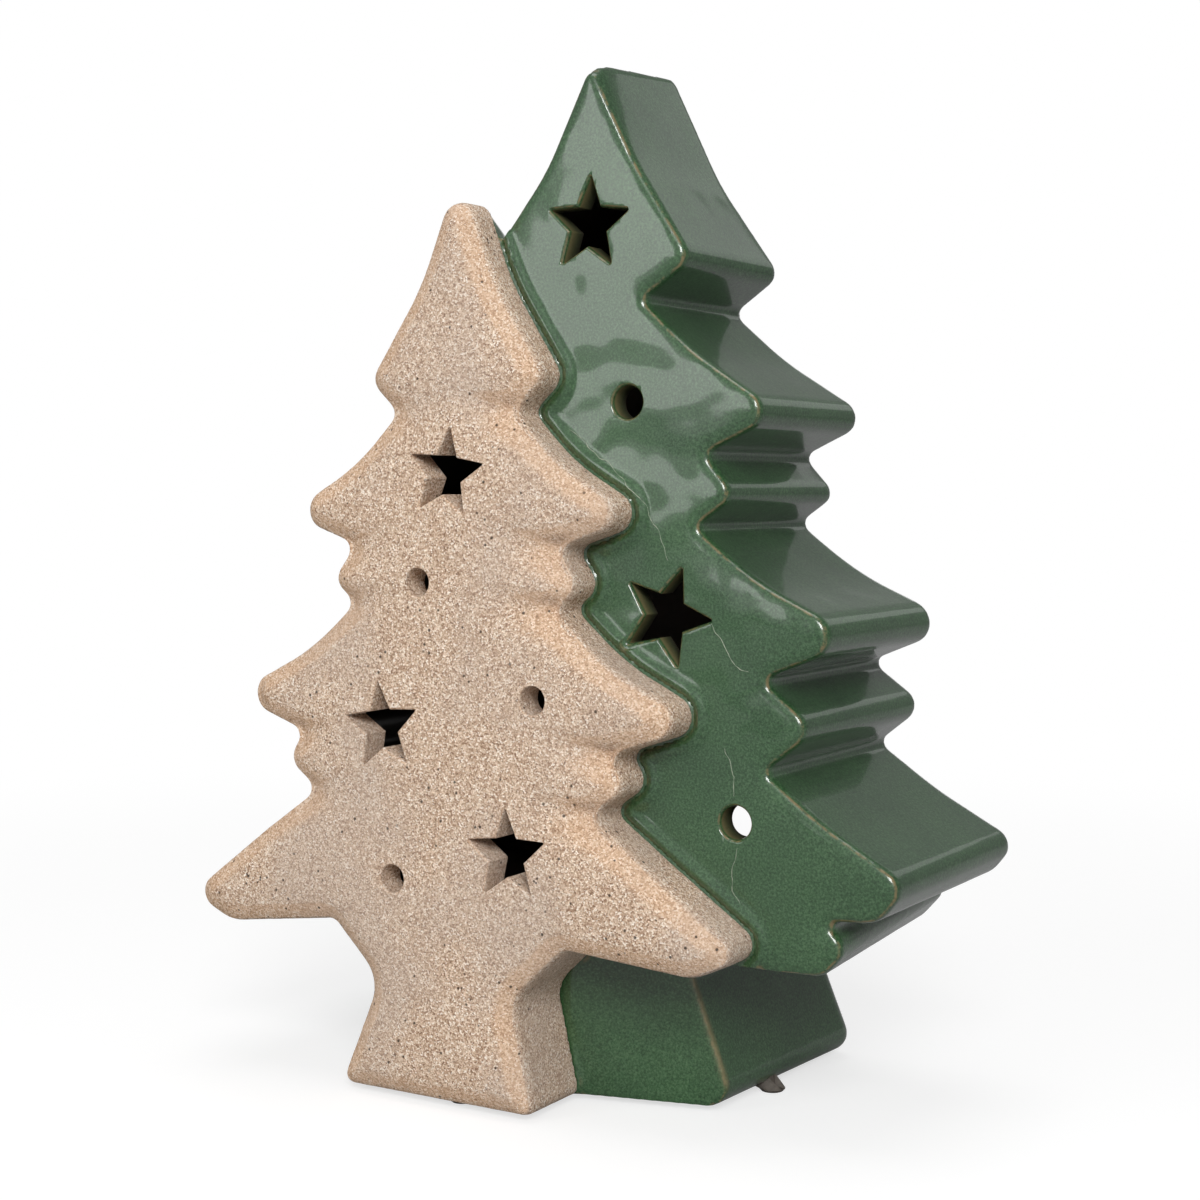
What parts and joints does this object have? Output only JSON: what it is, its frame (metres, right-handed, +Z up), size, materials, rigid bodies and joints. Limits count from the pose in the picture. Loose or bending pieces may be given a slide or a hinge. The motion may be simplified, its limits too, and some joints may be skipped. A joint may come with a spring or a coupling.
{
  "type": "lighted christmas tree",
  "caption": "Hollow ceramic lantern of two layered fir trees, glazed green and sand coated, with star and round light holes and a battery tealight that slides in at the back.",
  "frame": {"origin": "centre of the footprint, on the surface the lantern stands on", "axes": "+Z up, the trees' fronts look towards -Y, +X is the viewer's right"},
  "size_m": [0.1846, 0.0974, 0.2444],
  "materials": {
    "green_glaze": "glossy green glaze with fine speckle and faint crazing",
    "sand_coat": "matte granular sand coat",
    "silicone": "matte",
    "ivory_plastic": "satin",
    "wax_look_plastic": "wax look",
    "flame_plastic": "translucent",
    "led_resin": "clear tinted",
    "tinned_wire": "tinned",
    "board": "solder mask",
    "cell_steel": "brushed",
    "spring_steel": "plain",
    "black_plastic": "satin"
  },
  "bodies": {
    "ceramic": {"large_tree_shell": "green_glaze", "small_tree_front": "sand_coat", "small_tree_back": "green_glaze", "rear_wall": "green_glaze", "foot_pad_right": "silicone", "foot_pad_left": "silicone", "foot_pad_front": "silicone", "foot_pad_rear": "silicone"},
    "tealight": {"tealight_housing": "ivory_plastic", "tealight_top": "wax_look_plastic", "flame_diffuser": "flame_plastic", "led_lamp": "led_resin", "led_lead_left": "tinned_wire", "led_lead_right": "tinned_wire", "circuit_board": "board", "coin_cell": "cell_steel", "contact_negative": "spring_steel", "contact_positive": "spring_steel", "base_plate": "ivory_plastic", "switch_body": "black_plastic"},
    "hatch": {"battery_hatch": "ivory_plastic"},
    "knob": {"switch_knob": "black_plastic"}
  },
  "joints": [
    {"name": "tealight_slide", "type": "slide", "parent": "ceramic", "child": "tealight", "axis": [0, 1, 0], "range_m": [0, 0.09]},
    {"name": "battery_hatch_slide", "type": "slide", "parent": "tealight", "child": "hatch", "axis": [0, 1, 0], "range_m": [0, 0.022]},
    {"name": "switch_slide", "type": "slide", "parent": "tealight", "child": "knob", "axis": [1, 0, 0], "range_m": [0, 0.003]}
  ]
}
